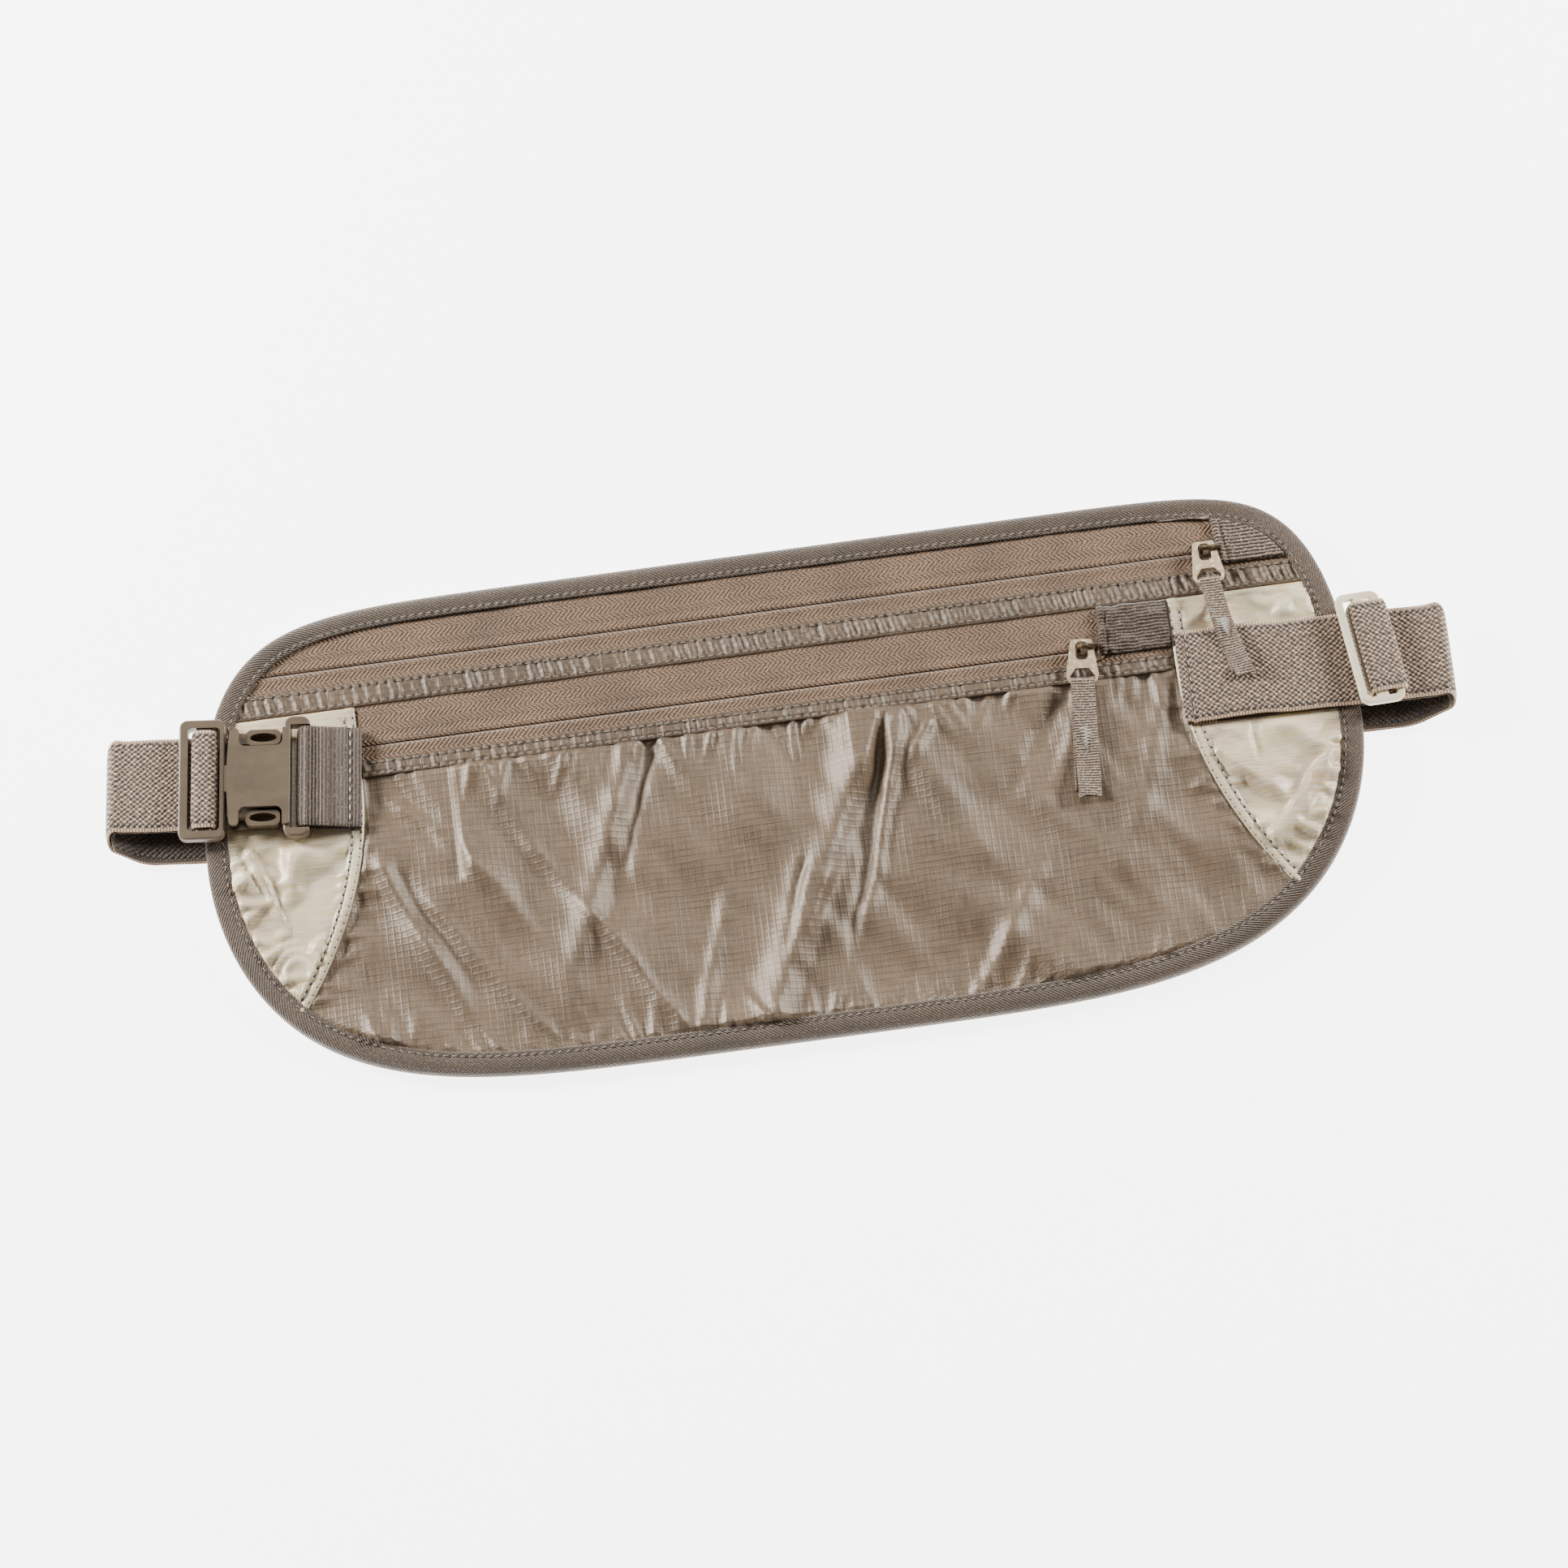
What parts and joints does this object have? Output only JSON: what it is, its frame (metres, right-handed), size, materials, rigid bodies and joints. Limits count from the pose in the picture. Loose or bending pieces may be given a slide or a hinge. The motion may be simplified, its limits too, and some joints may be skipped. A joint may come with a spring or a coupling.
{
  "type": "money belt",
  "caption": "Slim zipped waist pouch lying flat, with two zippers, a bound edge, a side release buckle and an elastic strap folded behind it.",
  "frame": {"origin": "under the middle of the belt, on the surface that it lies on", "axes": "+X along the belt to the sewn strap end, +Y towards the zipped edge, +Z out of the front"},
  "size_m": [0.35, 0.133, 0.013],
  "materials": {
    "ripstop": "taupe ripstop nylon with a soft shine",
    "wing_satin": "champagne satin nylon",
    "zipper_tape": "tan woven zipper tape",
    "coil_nylon": "tan nylon coil",
    "binding_tape": "dark taupe binding tape",
    "lining": "soft moisture-wicking lining",
    "elastic_webbing": "woven elastic webbing, light with dark specks",
    "grosgrain": "ribbed grosgrain tape",
    "ribbon": "narrow grosgrain ribbon",
    "buckle_plastic": "matte acetal",
    "adjuster_plastic": "light matte acetal",
    "slider_metal": "painted zinc with bright worn edges",
    "pull_metal": "beige painted zinc"
  },
  "bodies": {
    "root": {"back_panel": "lining", "pocket_divider": "lining", "front_panel": "ripstop", "wing_left": "wing_satin", "wing_right": "wing_satin", "edge_binding": "binding_tape", "placket_middle": "ripstop", "front_pocket_hem": "ripstop", "zip_upper_tape_top": "zipper_tape", "zip_upper_tape_bottom": "zipper_tape", "zip_lower_tape_top": "zipper_tape", "zip_lower_tape_bottom": "zipper_tape", "zip_upper_coil_top": "coil_nylon", "zip_upper_coil_bottom": "coil_nylon", "zip_lower_coil_top": "coil_nylon", "zip_lower_coil_bottom": "coil_nylon", "zip_upper_stops": "coil_nylon", "zip_lower_stops": "coil_nylon", "garage_upper": "ribbon", "garage_lower": "ribbon", "strap_outer": "elastic_webbing", "strap_inner": "elastic_webbing", "buckle_female": "buckle_plastic", "buckle_tab": "grosgrain"},
    "upper_slider": {"zip_upper_slider": "slider_metal"},
    "upper_tab": {"pull_upper_tab": "pull_metal"},
    "upper_ribbon": {"pull_upper_ribbon": "ribbon"},
    "lower_slider": {"zip_lower_slider": "slider_metal"},
    "lower_tab": {"pull_lower_tab": "pull_metal"},
    "lower_ribbon": {"pull_lower_ribbon": "ribbon"},
    "male_buckle": {"buckle_male": "buckle_plastic", "strap_left_outer": "elastic_webbing", "strap_left_inner": "elastic_webbing"},
    "prong_upper": {"buckle_prong_upper": "buckle_plastic"},
    "prong_lower": {"buckle_prong_lower": "buckle_plastic"},
    "adjuster": {"adjuster_frame": "adjuster_plastic", "adjuster_strap_roll": "elastic_webbing"}
  },
  "joints": [
    {"name": "zip_upper_slide", "type": "slide", "parent": "root", "child": "upper_slider", "axis": [-1, 0, 0], "range_m": [0, 0.218]},
    {"name": "pull_upper_lift", "type": "hinge", "parent": "upper_slider", "child": "upper_tab", "pos_m": [0.1175, 0.0498, 0.0093], "axis": [-1, 0, 0], "range_deg": [0, 32]},
    {"name": "ribbon_upper_swing", "type": "hinge", "parent": "upper_tab", "child": "upper_ribbon", "pos_m": [0.11606, 0.04056, 0.00964], "axis": [-0.9998, -0.0175, 0], "range_deg": [0, 100]},
    {"name": "zip_lower_slide", "type": "slide", "parent": "root", "child": "lower_slider", "axis": [-1, 0, 0], "range_m": [0, 0.171]},
    {"name": "pull_lower_lift", "type": "hinge", "parent": "lower_slider", "child": "lower_tab", "pos_m": [0.0823, 0.0272, 0.0093], "axis": [-1, 0, 0], "range_deg": [0, 40]},
    {"name": "ribbon_lower_swing", "type": "hinge", "parent": "lower_tab", "child": "lower_ribbon", "pos_m": [0.07979, 0.01805, 0.00835], "axis": [-0.9951, 0.0993, 0], "range_deg": [0, 100]},
    {"name": "buckle_release", "type": "slide", "parent": "root", "child": "male_buckle", "axis": [-0.9945, 0.1045, 0], "range_m": [0, 0.025]},
    {"name": "prong_upper_squeeze", "type": "hinge", "parent": "male_buckle", "child": "prong_upper", "pos_m": [-0.13966, 0.03166, 0.0092], "axis": [0, 0, 1], "range_deg": [-7, 0], "stiffness_Nm_per_rad": 0.05},
    {"name": "prong_lower_squeeze", "type": "hinge", "parent": "male_buckle", "child": "prong_lower", "pos_m": [-0.14175, 0.01177, 0.0092], "axis": [0, 0, 1], "range_deg": [0, 7], "stiffness_Nm_per_rad": 0.05},
    {"name": "strap_adjust", "type": "slide", "parent": "root", "child": "adjuster", "axis": [-0.9997, 0.0243, 0], "range_m": [-0.003, 0.018]}
  ],
  "couplings": [
    {"joint": "prong_lower_squeeze", "follows": "prong_upper_squeeze", "ratio": -1}
  ]
}
